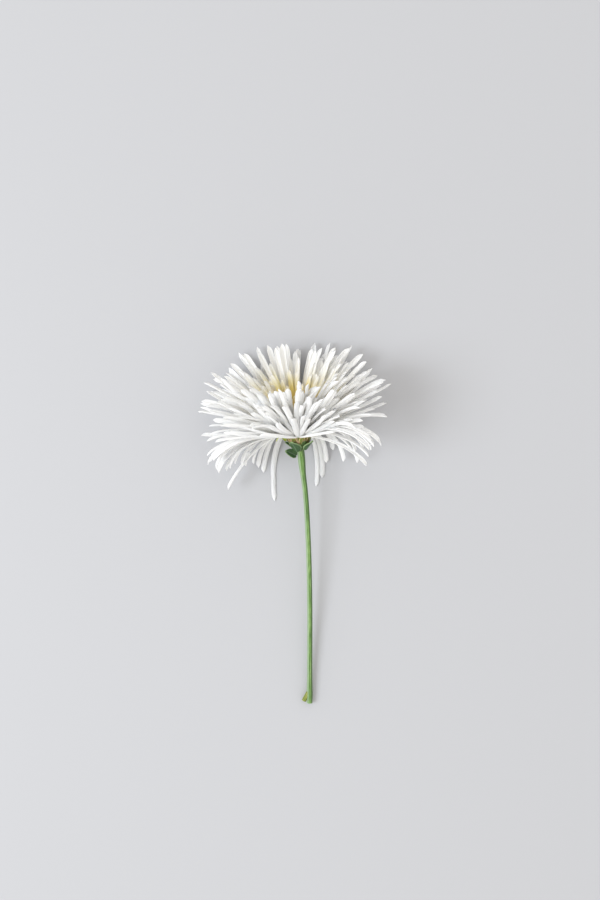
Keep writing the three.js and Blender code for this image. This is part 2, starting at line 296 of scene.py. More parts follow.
def make_petal_finish():
    finish, tree, shader, relief = new_finish("petal_white", 0.7, 0.65, (1.1, 1.06, 0.98), 0.00010)
    link = tree.links.new
    uv = tree.nodes.new("ShaderNodeUVMap")
    split = tree.nodes.new("ShaderNodeSeparateXYZ")
    link(uv.outputs["UV"], split.inputs["Vector"])
    stretch = tree.nodes.new("ShaderNodeMapping")
    stretch.inputs["Scale"].default_value = (1.0, 0.12, 1.0)
    link(uv.outputs["UV"], stretch.inputs["Vector"])
    cells = add_fibres(tree, stretch.outputs["Vector"], 15.0)
    warmth = tree.nodes.new("ShaderNodeAttribute")
    warmth.attribute_name = "warmth"
    # place on the ramp = V + 0.5 - warmth, and a little of the streaks to make the change uneven
    shift = tree.nodes.new("ShaderNodeMath")
    shift.operation = "SUBTRACT"
    link(split.outputs["Y"], shift.inputs[0])
    link(warmth.outputs["Fac"], shift.inputs[1])
    uneven = tree.nodes.new("ShaderNodeMath")
    uneven.operation = "MULTIPLY_ADD"
    uneven.inputs[1].default_value = 0.35
    link(cells.outputs["Mask"], uneven.inputs[0])
    link(shift.outputs[0], uneven.inputs[2])
    place = tree.nodes.new("ShaderNodeMath")
    place.operation = "ADD"
    place.inputs[1].default_value = 0.27
    link(uneven.outputs[0], place.inputs[0])
    body = ramp(tree, place.outputs[0], [
        (0.00, (0.88, 0.68, 0.22)),
        (0.16, (0.94, 0.82, 0.48)),
        (0.36, (0.975, 0.93, 0.79)),
        (0.58, (0.985, 0.975, 0.945)),
        (1.00, (0.99, 0.99, 0.99)),
    ])
    streaked = ramp(tree, cells.outputs["Mask"], [(0.30, (0.95, 0.95, 0.94)), (0.62, (1, 1, 1))])
    colour = mixed(tree, "MULTIPLY", 0.7, body, streaked)
    link(colour, shader.inputs["Base Color"])
    link(cells.outputs["Height"], relief.inputs["Height"])
    return finish


petal_finish = make_petal_finish()
print("petal finish nodes:", len(petal_finish.node_tree.nodes))

# %% [markdown]
# The stem is a fresh green, with pale ribs and fine fibres along it. It runs nearly along the Y
# axis, so object coordinates squeezed along Y follow it. Light and shade are painted on it: the
# side towards the lamp on the left is painted paler as lit and the far side darker as shaded, and
# two attributes of the mesh say where. The small leaves are a darker green, and the
# scales under the bloom have thin papery margins the colour of straw.

# %% Stem, leaf, scale and eye finishes
# Painted light and shade: the stem's side towards the lamp is painted this pale green, its far side
# this deep green.
PAINTED_LIT_GREEN = (0.30, 0.41, 0.24)
PAINTED_SHADE_GREEN = (0.045, 0.11, 0.014)


def make_stem_finish(name, dark, middle, light):
    finish, tree, shader, relief = new_finish(name, 0.40, 0.2, (1.0, 1.6, 0.5), 0.00025)
    shader.inputs["Coat Weight"].default_value = 0.35
    shader.inputs["Coat Roughness"].default_value = 0.35
    link = tree.links.new
    cells = add_fibres(tree, stretched(tree, "Object", (1.0, 0.06, 1.0)), 1900.0)
    body = ramp(tree, cells.outputs["Mask"], [(0.34, dark), (0.50, middle), (0.66, light)])
    coordinates = tree.nodes.new("ShaderNodeTexCoord")
    patches = new_node(tree, "ShaderNodeTexNoise", Scale=90.0, Detail=3.0)
    link(coordinates.outputs["Object"], patches.inputs["Vector"])
    worn = ramp(tree, patches.outputs["Fac"], [(0.38, (0.80, 0.86, 0.72)), (0.62, (1.0, 1.0, 1.0))])
    colour = mixed(tree, "MULTIPLY", 0.8, body, worn)
    # Painted light and shade: the side of the stem towards the lamp on the left is painted paler,
    # the far side darker.
    for attribute, painted_colour in (("painted_lit_side", PAINTED_LIT_GREEN), ("painted_shade_side", PAINTED_SHADE_GREEN)):
        side = tree.nodes.new("ShaderNodeAttribute")
        side.attribute_name = attribute
        colour = mixed(tree, "MIX", side.outputs["Fac"], colour, painted_colour)
    link(colour, shader.inputs["Base Color"])
    link(cells.outputs["Height"], relief.inputs["Height"])
    return finish


def make_blade_finish(name, dark, light, margin, margin_start):
    """Leaf or scale: veins along it, and a margin of another colour along its edges."""
    finish, tree, shader, relief = new_finish(name, 0.55, 0.15, (0.8, 1.2, 0.4), 0.00020)
    link = tree.links.new
    uv = tree.nodes.new("ShaderNodeUVMap")
    split = tree.nodes.new("ShaderNodeSeparateXYZ")
    link(uv.outputs["UV"], split.inputs["Vector"])
    stretch = tree.nodes.new("ShaderNodeMapping")
    stretch.inputs["Scale"].default_value = (1.0, 0.35, 1.0)
    link(uv.outputs["UV"], stretch.inputs["Vector"])
    cells = add_fibres(tree, stretch.outputs["Vector"], 14.0)
    body = ramp(tree, cells.outputs["Mask"], [(0.35, dark), (0.65, light)])
    centred = tree.nodes.new("ShaderNodeMath")
    centred.operation = "SUBTRACT"
    centred.inputs[1].default_value = 0.5
    link(split.outputs["X"], centred.inputs[0])
    edge = tree.nodes.new("ShaderNodeMath")
    edge.operation = "ABSOLUTE"
    link(centred.outputs[0], edge.inputs[0])
    margin_full = min(0.5, margin_start + 0.08)
    rim = ramp(tree, edge.outputs[0], [(margin_start, (0, 0, 0)), (margin_full, (1, 1, 1))])
    midrib = ramp(tree, edge.outputs[0], [(0.02, (1, 1, 1)), (0.06, (0, 0, 0))])
    tip = ramp(tree, split.outputs["Y"], [(0.86, (0, 0, 0)), (0.96, (1, 1, 1))])
    edges = mixed(tree, "LIGHTEN", 1.0, rim, tip)
    pale_rib = tuple(0.5 * (a + b) + 0.08 for a, b in zip(dark, light))
    ribbed = mixed(tree, "MIX", midrib, body, pale_rib)
    link(mixed(tree, "MIX", edges, ribbed, margin), shader.inputs["Base Color"])
    link(cells.outputs["Height"], relief.inputs["Height"])
    return finish


def make_eye_finish():
    finish, tree, shader, relief = new_finish("eye_gold", 0.6, 0.2, (1.0, 0.8, 0.3), 0.00010)
    grain = new_node(tree, "ShaderNodeTexNoise", Scale=2600.0, Detail=3.0)
    coordinates = tree.nodes.new("ShaderNodeTexCoord")
    tree.links.new(coordinates.outputs["Object"], grain.inputs["Vector"])
    body = ramp(tree, grain.outputs["Fac"], [(0.35, (0.62, 0.40, 0.05)), (0.65, (0.86, 0.66, 0.14))])
    tree.links.new(body, shader.inputs["Base Color"])
    tree.links.new(grain.outputs["Fac"], relief.inputs["Height"])
    return finish


# name, then the colours of the dark, middle and light fibres
stem_finish, stub_finish, cup_finish = (make_stem_finish(*row) for row in [
    ("stem_green", (0.05, 0.12, 0.017), (0.135, 0.26, 0.055), (0.30, 0.42, 0.17)),
    ("stub_olive", (0.08, 0.12, 0.01), (0.22, 0.25, 0.03), (0.46, 0.44, 0.12)),
    ("cup_green", (0.03, 0.07, 0.015), (0.06, 0.12, 0.03), (0.11, 0.19, 0.05)),
])
# name, dark fibres, light fibres, margin, and how far out across the blade the margin starts
leaf_finish, scale_finish, papery_finish, tip_finish = (make_blade_finish(*row) for row in [
    ("leaf_green", (0.022, 0.062, 0.022), (0.07, 0.145, 0.05), (0.24, 0.34, 0.16), 0.43),
    ("scale_green", (0.03, 0.07, 0.015), (0.11, 0.19, 0.05), (0.26, 0.20, 0.09), 0.42),
    ("scale_papery", (0.12, 0.15, 0.02), (0.28, 0.27, 0.06), (0.56, 0.41, 0.24), 0.33),
    ("leaf_yellow_green", (0.26, 0.32, 0.03), (0.46, 0.52, 0.09), (0.6, 0.62, 0.2), 0.46),
])
eye_finish = make_eye_finish()
print("finishes:", [material.name for material in bpy.data.materials])

# %% [markdown]
# A petal of this flower is a soft strap. It leaves the dome in one direction, bends towards
# another, and where it meets the surface it levels out and lies down. The function grow walks
# along the petal in small steps and gives the points of its middle line. These are the same
# steps as in the CAD model, so the fine petals lie where the CAD petals are.

# %% The middle line of a petal
FLORET_THICKNESS = 0.8 * MM
FLORET_CHANNEL = 0.5 * MM
GAP = 0.3 * MM
LANDING = 7 * MM
LAYER_PITCH = FLORET_THICKNESS + FLORET_CHANNEL + 2 * GAP
FLORET_WIDTH = 2.9 * MM


def grow(seat, first, last, length, ground, steps, bend=1.0, curl=0.0, sway=0.0):
    """Points from the seat on. The line starts the first way and bends towards the last way."""
    points = [seat.copy()]
    step = length / steps
    turn = first.rotation_difference(last)
    side = first.cross(AXIS)
    side = side.normalized() if side.length > 1e-6 else RIGHT.copy()
    for i in range(steps):
        share = (i + 0.5) / steps
        way = Quaternion().slerp(turn, share ** bend) @ first
        way = Quaternion(side, curl * share ** 4) @ way
        way = (way + side * sway * math.sin(share * math.pi * 1.4)).normalized()
        here = points[-1]
        drop = max(way.z, -max(0, here.z - ground) / LANDING)
        level = Vector((way.x + 0.15 * last.x, way.y + 0.15 * last.y))
        level = level.normalized() * math.sqrt(max(0, 1 - drop * drop))
        points.append(here + Vector((level.x, level.y, drop)) * step)
    return points


def stations(points, upper, ground=None, twist=0.0):
    """At each point: the place, the direction across the blade and the one it faces."""
    rows = []
    carried = None
    for i, at in enumerate(points):
        along = (points[min(i + 1, len(points) - 1)] - points[max(i - 1, 0)]).normalized()
        # The direction across is carried from one point to the next without turning the blade.
        carried = along.cross(upper) if carried is None else carried - along * carried.dot(along)
        carried.normalize()
        across = carried
        if ground is not None:
            flat = along.cross(UP).normalized()
            if flat.dot(across) < 0:
                flat.negate()
            near = math.exp(-max(0, at.z - ground) / LANDING)
            across = across.lerp(flat, near).normalized()
        across = Quaternion(along, twist * i / (len(points) - 1)) @ across
        rows.append((at, across, across.cross(along).normalized()))
    return rows


def seat_on_dome(down, azimuth):
    """A petal's seat just above the dome, by its angle down from the dome's top."""
    tip = math.radians(down)
    out = Vector((DOME_HEIGHT * math.sin(tip), RIM_RADIUS * math.cos(tip))).normalized()
    out *= GAP + FLORET_THICKNESS / 2
    return (
        RIM_CENTRE
        + AXIS * (DOME_HEIGHT * math.cos(tip) + out.y)
        + radial(azimuth) * (RIM_RADIUS * math.sin(tip) + out.x)
    )


print("height of one layer of petals (mm):", round(LAYER_PITCH * 1000, 2))

# %% [markdown]
# The petal itself is a strap with a rounded tip, narrow at its root, hollowed along its upper
# face and ribbed along its back. It is modelled once as a flat grid whose rows are resized and
# whose columns are lifted, and a Solidify modifier gives it its thickness. Its length and width
# are 1, because each copy is then laid along a middle line with its own length and width.

# %% The petal blank
PETAL_THICKNESS = 0.28 * MM
PETAL_SLIMNESS = 0.78  # the fine petal's width as a share of the CAD petal's
ROUND_FROM = 0.93  # where along the petal its tip begins to round


def flat_blade(name, columns, rows):
    """A flat grid one unit long and one wide, with its root at the origin."""
    deselect_everything()
    bpy.ops.mesh.primitive_grid_add(
        x_subdivisions=columns, y_subdivisions=rows, size=1, location=(0, 0.5, 0),
    )
    bpy.ops.object.transform_apply(location=True)
    blade = bpy.context.object
    blade.name = name
    return blade


def thicken(blade, thickness):
    """Give the blade its thickness, half to each side, and make it smooth."""
    thick = blade.modifiers.new("thickness", "SOLIDIFY")
    thick.thickness = thickness
    thick.offset = 0
    make_active(blade)
    bpy.ops.object.modifier_apply(modifier=thick.name)
    bpy.ops.object.shade_smooth()


def petal_blank(name, columns, rows, ribs, root):
    """A petal one unit long. Ribs is its ribs' depth in mm, root its root's share of the width."""
    blank = flat_blade(name, columns, rows)
    # The rows crowd towards the round tip.
    for vertex in blank.data.vertices:
        share = 1 - (1 - vertex.co.y) ** 1.6
        side = 2 * vertex.co.x
        body = smooth_step(share, 0, 0.7)
        tip = math.sqrt(max(0, 1 - (max(0, share - ROUND_FROM) / 0.07) ** 2))
        width = (root + (1 - root) * body) * max(0.30, tip)
        vertex.co.x = side * width / 2
        vertex.co.y = share + 0.012 * (1 - side * side) * smooth_step(share, ROUND_FROM, 1) - 0.012
        hollow = 0.95 * (0.45 + 0.55 * body) * side * side * (0.4 + 0.6 * tip)
        rib = ribs * math.cos(side * math.pi * 2.5) * (1 - abs(side) ** 3) * tip
        vertex.co.z = (hollow + rib) * MM
    thicken(blank, PETAL_THICKNESS)
    return blank


fine_blank = petal_blank("fine_blank", 10, 18, 0.10, 0.45)
broad_blank = petal_blank("broad_blank", 10, 18, 0.10, 0.85)
plain_blank = petal_blank("plain_blank", 4, 9, 0, 0.45)
for blank in (fine_blank, plain_blank):
    print("faces of", blank.name, len(blank.data.polygons))

# %% [markdown]
# Laying a petal down moves each vertex of a copy of the blank: its place along the blade picks a
# point of the middle line, and its place across and above the blade is measured there. A colour
# attribute called warmth keeps how golden each petal is.

# %% Laying a blank along a middle line
RESTING = 0.5 * MM  # below this height a petal is pressed flat


def laid_mesh(blank, rows, width, warmth, name):
    """A copy of the blank's mesh, laid along the rows that stations gives."""
    mesh = blank.data.copy()
    mesh.name = name
    last = len(rows) - 1
    for vertex in mesh.vertices:
        place = min(max(vertex.co.y, 0), 1) * last
        low = min(int(place), last - 1)
        share = place - low
        at = rows[low][0].lerp(rows[low + 1][0], share)
        across = rows[low][1].lerp(rows[low + 1][1], share)
        face = rows[low][2].lerp(rows[low + 1][2], share)
        vertex.co = at + across * vertex.co.x * width + face * vertex.co.z * (width / FLORET_WIDTH)
        # Where a petal rests on the surface, it is pressed flat and doesn't go under it.
        if vertex.co.z < RESTING:
            vertex.co.z = RESTING * math.exp(vertex.co.z / RESTING - 1)
    shade = mesh.attributes.new("warmth", "FLOAT", "POINT")
    shade.data.foreach_set("value", [warmth] * len(mesh.vertices))
    return mesh


def piece_from_meshes(name, meshes, finish):
    """One object that holds one mesh, or several joined as one."""
    if len(meshes) == 1:
        joined = meshes[0]
    else:
        shapes = bmesh.new()
        for mesh in meshes:
            shapes.from_mesh(mesh)
        joined = bpy.data.meshes.new(name)
        shapes.to_mesh(joined)
        shapes.free()
        joined.shade_smooth()
    joined.materials.clear()
    joined.materials.append(finish)
    piece = bpy.data.objects.new(name, joined)
    scene.collection.objects.link(piece)
    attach(piece, "root")
    return piece


# %% [markdown]
# The petals that the CAD model has come first: three whorls that open forwards, and the petals
# at the rim that bend back towards the stem. Each takes the place of its CAD node.

# %% Petals of the CAD whorls
PARTING = 93
PARTING_PUSH = 13
PARTING_REACH = 50
TOP_FOLD_SHAPE = 1.5
WHORLS = [
    # node, count, seat, leave, arrive, fold, length, layer, warmth
    ("ray_outer", 13, 70, 58, 70, 0.3, 37 * MM, 0, 0.12),
    ("ray_middle", 12, 55, 43, 53, 0.15, 36 * MM, 1, 0.4),
    ("ray_inner", 9, 39, 26, 34, 0.0, 22 * MM, 2, 0.85),
]
REFLEXED_SEAT = 87
REFLEXED_LEAVE = 80
REFLEXED_DIP = 16
REFLEXED = [
    # azimuth, heading it ends in, length, how late it turns
    (161, 177, 37, 0.5), (172, 250, 35, 2.0), (181, 256, 32, 1.7), (190, 245, 37, 0.5),
    (202, 266, 27, 1.2), (216, 262, 25, 0.7), (240, 276, 39, 0.5), (297, 266, 33, 0.5),
    (318, 272, 22, 0.5), (344, 290, 28, 0.8), (18, 304, 28, 1.4), (48, 312, 33, 1.9),
]
misfits = []


def parted(azimuth, push=PARTING_PUSH):
    """The azimuth pushed away from the parting in the upper petals."""
    away = (azimuth - PARTING + 180) % 360 - 180
    return azimuth + math.copysign(push, away) * math.exp(-((away / PARTING_REACH) ** 2))


def petal_warmth(warmth, azimuth, index):
    """The lower petals of a whorl are made more golden: partly their own golden bases, partly
    painted warm shade from light bouncing among the petals.
    """
    # Partly painted warm shade: petals on the lower side of the bloom get extra gold.
    gold_and_warm_shade = max(0, -math.sin(math.radians(azimuth)))
    return min(1, max(0, warmth + 0.1 * gold_and_warm_shade + 0.1 * vary(index, 8)))


def slope_way(heading, dip):
    """The direction with this heading on the surface, dipping below the level by the dip."""
    level = math.cos(math.radians(dip))
    return Vector((
        math.cos(math.radians(heading)) * level,
        math.sin(math.radians(heading)) * level,
        -math.sin(math.radians(dip)),
    ))


def check_fit(piece, node):
    """How far the fine piece stands outside the CAD piece's box, in millimetres."""
    low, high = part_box(node)
    corners = [vertex.co for vertex in piece.data.vertices]
    out = 0
    for k in range(3):
        out = max(out, low[k] - min(c[k] for c in corners), max(c[k] for c in corners) - high[k])
    misfits.append((out * 1000, node))


def replace_petal(node, rows, width, warmth):
    """The fine petal that takes the place of a CAD petal."""
    name = "petal_" + node
    piece = piece_from_meshes(name, [laid_mesh(fine_blank, rows, width, warmth, name)], petal_finish)
    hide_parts(node)
    check_fit(piece, node)


for whorl, (node, count, seat, leave, arrive, fold, length, layer, warmth) in enumerate(WHORLS):
    for i in range(count):
        index = 20 * whorl + i
        azimuth = PARTING + (360 / count) * (i + 0.5 + 0.16 * vary(index, 1))
        upper = max(0, math.sin(math.radians(azimuth))) ** TOP_FOLD_SHAPE
        ground = FLORET_THICKNESS / 2 + layer * LAYER_PITCH
        points = grow(
            seat_on_dome(seat, azimuth),
            polar(leave * (1 - 0.5 * fold * upper), parted(azimuth)),
            polar((arrive + 3 * vary(index, 2)) * (1 - fold * upper), parted(azimuth)),
            length * (1 + 0.05 * vary(index, 3)),
            ground, 18, 1.0, 0.15 * vary(index, 4), 0.05 * vary(index, 5),
        )
        rows = stations(points, AXIS, ground, 0.35 * vary(index, 6))
        width = FLORET_WIDTH * PETAL_SLIMNESS * (1 + 0.1 * vary(index, 7))
        replace_petal(f"{node}_{i + 1:02d}", rows, width, petal_warmth(warmth, azimuth, index))

for i, (azimuth, heading, length, late) in enumerate(REFLEXED):
    index = i + 70
    ground = FLORET_THICKNESS / 2
    points = grow(
        seat_on_dome(REFLEXED_SEAT, azimuth), polar(REFLEXED_LEAVE, azimuth),
        slope_way(heading, REFLEXED_DIP), length * MM, ground, 18, late,
        0.1 * vary(index, 4), 0.03 * vary(index, 5),
    )
    rows = stations(points, AXIS, ground, 0.3 * vary(index, 6))
    width = FLORET_WIDTH * PETAL_SLIMNESS * (1 + 0.08 * vary(index, 7))
    replace_petal(f"ray_reflexed_{i + 1:02d}", rows, width, 0)
misfits.sort(reverse=True)
print("petals outside their CAD boxes by at most (mm):", [(round(m, 1), n) for m, n in misfits[:5]])

# %% [markdown]
# A full double bloom has over three hundred petals. Most of them grow in whorls between those of
# the CAD model: the outer ones as long as their neighbours, and the inner ones ever shorter, more
# upright and more golden towards the eye. Each whorl is one piece, because nobody picks its
# petals apart.

# %% Petals between the CAD whorls
FILL_WHORLS = [
    # name, count, seat, leave, arrive, fold, length, layer, turn, warmth
    ("rim", 31, 80, 68, 84, 0.33, 33, 0, 3, 0.0),
    ("outer", 32, 74, 61, 75, 0.30, 36, 0, 0, 0.08),
    ("outer_upper", 32, 66, 53, 65, 0.26, 37, 1, 5, 0.2),
    ("middle", 31, 58, 46, 56, 0.22, 37, 1, 2, 0.3),
    ("middle_upper", 28, 49, 38, 47, 0.10, 33, 2, 0, 0.45),
    ("inner_outer", 25, 41, 31, 38, 0.0, 27, 2, 4, 0.65),
    ("inner", 20, 33, 23, 30, 0.0, 21, 2, 1, 0.85),
    ("core_outer", 16, 25, 15, 22, 0.0, 15, 2, 3, 1.0),
    ("core", 11, 17, 8, 14, 0.0, 11, 2, 0, 1.0),
]
total = 0
for whorl, row in enumerate(FILL_WHORLS):
    name, count, seat, leave, arrive, fold, length, layer, turn, warmth = row
    meshes = []
    for i in range(count):
        index = 100 + 40 * whorl + i
        azimuth = PARTING + turn + (360 / count) * (i + 0.5 + 0.6 * vary(index, 1))
        upper = max(0, math.sin(math.radians(azimuth))) ** TOP_FOLD_SHAPE
        ground = FLORET_THICKNESS / 2 + (layer + 0.5 * abs(vary(index, 9))) * LAYER_PITCH
        own_fold = fold * upper * (0.6 + 0.8 * abs(vary(index, 12)))
        heading = parted(azimuth, 4)
        points = grow(
            seat_on_dome(seat + 3 * vary(index, 10), azimuth),
            polar(leave * (1 - 0.5 * own_fold), heading),
            polar((arrive + 9 * vary(index, 2)) * (1 - own_fold), heading + 6 * vary(index, 11)),
            length * MM * (1 + 0.12 * vary(index, 3)),
            ground, 12, 1.0, 0.5 * vary(index, 4), 0.14 * vary(index, 5),
        )
        rows = stations(points, AXIS, ground, 1.0 * vary(index, 6))
        slim = PETAL_SLIMNESS * (0.74 + 0.22 * smooth_step(length, 12, 36))
        width = FLORET_WIDTH * slim * (1 + 0.16 * vary(index, 7))
        golden = petal_warmth(warmth, azimuth, index)
        meshes.append(laid_mesh(plain_blank, rows, width, golden, f"{name}_{i}"))
    piece = piece_from_meshes("petals_" + name, meshes, petal_finish)
    total += count
print("petals between the CAD whorls:", total)

# %% [markdown]
# Four sets of petals break the regular pattern. Some have gone soft: they leave the bloom like
# their neighbours and then turn over and hang back towards the stem, so the lower edge of the
# bloom is ragged. Others splay from the upper side to the left and to the right, and hide the
# roots of the petals behind them. A third set stands up as the near wall of the hollow in the
# bloom, and a fourth fills its far wall, where the petals rest on the ground.

# %% Petals that break the pattern
# azimuth, angle it leaves at, heading it ends in, dip (under 0 it rises), length, how late it turns
DROOPING = [
    (160, 72, 262, 22, 37, 2.8), (168, 78, 266, 20, 30, 2.2), (176, 82, 262, 20, 34, 2.6),
    (164, 76, 236, 18, 38, 3.0), (150, 66, 232, 24, 37, 2.2), (184, 84, 268, 16, 26, 1.8),
    (196, 84, 272, 12, 22, 1.2), (178, 76, 222, 18, 33, 1.6), (20, 64, 288, 24, 31, 1.8),
    (34, 60, 298, 24, 33, 2.0), (48, 56, 304, 20, 36, 2.0), (6, 70, 282, 20, 27, 1.6),
    (28, 68, 316, 14, 31, 2.2), (60, 54, 326, 8, 33, 2.2), (352, 76, 276, 12, 24, 1.4),
    (318, 78, 272, 8, 21, 1.0), (170, 74, 244, 18, 36, 2.4), (158, 70, 226, 22, 37, 2.4),
    (174, 80, 252, 18, 31, 2.4), (166, 72, 250, 22, 33, 2.8), (188, 80, 258, 16, 28, 1.6),
    (154, 66, 240, 24, 38, 2.6), (24, 60, 300, 24, 35, 1.8), (38, 56, 312, 22, 37, 2.0),
    (14, 66, 294, 22, 30, 2.0), (52, 52, 316, 14, 38, 2.2), (233, 80, 275, 15, 33, 0.5),
    (222, 80, 268, 14, 27, 0.6), (306, 80, 268, 15, 30, 0.5), (332, 80, 282, 14, 25, 0.7),
]
SPLAYED = [
    (100, 62, 122, -32, 29, 1.0), (112, 66, 142, -24, 31, 1.0), (88, 62, 60, -36, 29, 1.0),
    (78, 64, 38, -28, 30, 1.0), (126, 70, 160, -16, 32, 1.2), (64, 68, 22, -20, 31, 1.2),
    (95, 66, 104, -58, 25, 0.8), (84, 68, 66, -56, 24, 0.8), (107, 70, 152, -46, 26, 0.8),
    (72, 70, 28, -44, 26, 0.8), (137, 74, 172, -10, 32, 1.4), (54, 72, 10, -8, 31, 1.4),
    (92, 58, 88, -42, 31, 1.2), (118, 62, 130, -34, 33, 1.2), (102, 74, 168, -36, 27, 0.9),
    (83, 74, 14, -34, 27, 0.9), (144, 70, 186, 2, 34, 1.6), (44, 70, 352, 2, 32, 1.6),
]
STANDING = [
    (96, 46, 98, -34, 31, 1.0), (101, 46, 104, -36, 30, 1.0), (106, 47, 111, -34, 31, 1.0),
    (111, 48, 117, -33, 31, 1.0), (117, 49, 123, -30, 32, 1.0), (123, 50, 129, -28, 32, 1.0),
    (129, 52, 136, -25, 32, 1.0), (136, 54, 143, -22, 33, 1.0), (88, 46, 84, -38, 30, 1.0),
    (82, 48, 75, -40, 29, 1.0), (76, 50, 66, -38, 28, 1.0), (70, 52, 58, -34, 29, 1.0),
    (62, 54, 48, -30, 30, 1.0), (54, 56, 40, -26, 31, 1.0),
]
CROWN = [
    (228, 40, 136, 4, 39, 0.8), (236, 38, 124, 0, 39, 0.8), (244, 36, 114, 2, 37, 0.8),
    (251, 34, 108, -3, 38, 0.8), (258, 33, 102, 2, 37, 0.8), (265, 32, 96, -4, 37, 0.8),
    (281, 32, 76, 0, 35, 0.8), (288, 33, 69, -4, 36, 0.8), (295, 35, 61, 2, 38, 0.8),
    (303, 37, 52, -2, 40, 0.8), (311, 40, 41, 3, 41, 0.8), (240, 26, 118, -10, 36, 0.8),
    (254, 24, 104, -12, 36, 0.8), (263, 23, 98, -8, 37, 0.8), (285, 24, 72, -10, 34, 0.8),
    (298, 26, 56, -12, 36, 0.8),
]
SET_SEAT = 82  # they all grow this far down the dome
# name, petals, blank, warmth, width as a share of the usual one
SETS = [
    ("drooping", DROOPING, fine_blank, 0, 1.0), ("splayed", SPLAYED, broad_blank, 0, 1.22),
    ("standing", STANDING, broad_blank, 0.1, 1.3), ("crown", CROWN, fine_blank, 0.4, 1.05),
]
for label, petals, blank, warmth, broad in SETS:
    meshes = []
    for i, (azimuth, leave, heading, dip, length, late) in enumerate(petals):
        # Each set varies in its own way.
        index = 500 + 50 * len(label) + 7 * len(petals) + i
        ground = FLORET_THICKNESS / 2
        points = grow(
            seat_on_dome(SET_SEAT, azimuth), polar(leave, azimuth), slope_way(heading, dip),
            length * MM, ground, 14, late, 0.2 * vary(index, 4), 0.06 * vary(index, 5),
        )
        rows = stations(points, AXIS, ground, 0.35 * vary(index, 6))
        width = FLORET_WIDTH * PETAL_SLIMNESS * broad * (0.97 + 0.1 * vary(index, 7))
        meshes.append(laid_mesh(blank, rows, width, warmth, f"{label}_{i}"))
    piece = piece_from_meshes("petals_" + label, meshes, petal_finish)
print("petals that break the pattern:", sum(len(entry[1]) for entry in SETS))

# %% [markdown]
# The stem is a living tube with shallow ribs. It is drawn as a curve through the same points as
# the CAD stem, with a ribbed ring as its section and a radius that swells at the neck and at the
# cut foot. The curve is then turned into a mesh. The stub of the side shoot is made the same way.

# %% Stem and stub
STEM_LENGTH = 108 * MM
STEM_RADIUS = 1.05 * MM
FOOT_RADIUS = 1.25 * MM
STEM_COURSE = [
    (0, 0, 12.4), (0.05, 0.5, 12.0), (0.14, 1.7, 11.1), (0.3, 2.8, 9.2),
    (0.55, 3.6, 6.0), (0.8, 3.7, 3.1), (1, 3.6, 1.25),
]
GROUND_BELOW_NECK = 12.4 * MM
STUB_SHARE = 0.945  # how far down the stem the stub grows
STUB_SPREAD = math.radians(27)


def stem_radius(share):
    neck = (NECK_RADIUS - STEM_RADIUS) * math.exp(-((share / 0.06) ** 2))
    foot = (FOOT_RADIUS - STEM_RADIUS) * math.exp(-(((share - 0.97) / 0.045) ** 2))
    return STEM_RADIUS + neck + foot


def ribbed_ring(name, ribs, depth):
    """A closed curve of radius 1 with ribs, used as the section of a tube."""
    ring = bpy.data.curves.new(name, "CURVE")
    spline = ring.splines.new("POLY")
    count = ribs * 6
    spline.points.add(count - 1)
    for i, point in enumerate(spline.points):
        turn = 2 * math.pi * i / count
        reach = 1 + depth * math.cos(ribs * turn)
        point.co = (reach * math.cos(turn), reach * math.sin(turn), 0, 1)
    spline.use_cyclic_u = True
    section = bpy.data.objects.new(name, ring)
    scene.collection.objects.link(section)
    return section


def ribbed_tube(name, points, radius_at, section, cuts, finish):
    """A curve through the points, with the section as its outline, turned into a mesh."""
    deselect_everything()
    bpy.ops.curve.primitive_bezier_curve_add()
    tube = bpy.context.object
    tube.name = name
    spline = tube.data.splines[0]
    spline.bezier_points.add(len(points) - 2)
    for knot, at in zip(spline.bezier_points, points):
        knot.co = at
        knot.handle_left_type = knot.handle_right_type = "AUTO"
    bpy.ops.object.mode_set(mode="EDIT")
    bpy.ops.curve.select_all(action="SELECT")
    bpy.ops.curve.subdivide(number_cuts=cuts)
    bpy.ops.object.mode_set(mode="OBJECT")
    knots = tube.data.splines[0].bezier_points
    for i, knot in enumerate(knots):
        knot.radius = radius_at(i / (len(knots) - 1), knot.co)
    tube.data.bevel_mode = "OBJECT"
    tube.data.bevel_object = section
    tube.data.use_fill_caps = True
    tube.data.resolution_u = 3
    make_active(tube)
    bpy.ops.object.convert(target="MESH")
    bpy.ops.object.transform_apply(location=True, rotation=True, scale=True)
    bpy.ops.object.mode_set(mode="EDIT")
    bpy.ops.mesh.select_all(action="SELECT")
    bpy.ops.mesh.remove_doubles(threshold=0.00002)
    bpy.ops.mesh.normals_make_consistent(inside=False)
    bpy.ops.object.mode_set(mode="OBJECT")
    bpy.ops.object.shade_smooth_by_angle(angle=math.radians(50))
    tube.data.materials.clear()
    tube.data.materials.append(finish)
    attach(tube, "root")
    return tube


section = ribbed_ring("rib_section", 6, 0.07)
base = Vector((NECK.x, NECK.y, NECK.z - GROUND_BELOW_NECK))
stem_points = [
    base + Vector((drift * MM, -share * STEM_LENGTH, height * MM))
    for share, drift, height in STEM_COURSE
]
stem_points.insert(0, NECK + AXIS * (THROAT_LENGTH + 0.8 * MM))
stem = ribbed_tube(
    "stem", stem_points,
    lambda share, co: stem_radius(min(1, max(0, (NECK.y - co.y) / STEM_LENGTH))),
    section, 5, stem_finish,
)
# painted light and shade on the stem, by the way each side faces the lamp: attribute, the way its
# side faces along X, and where it starts and is full
for attribute, way, start, full in (("painted_lit_side", -1, -0.05, 0.5), ("painted_shade_side", 1, 0.25, 0.7)):
    side = stem.data.attributes.new(attribute, "FLOAT", "POINT")
    painted_amounts = [0.8 * smooth_step(way * v.normal.x, start, full) for v in stem.data.vertices]
    side.data.foreach_set("value", painted_amounts)
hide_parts("stem_and_receptacle")

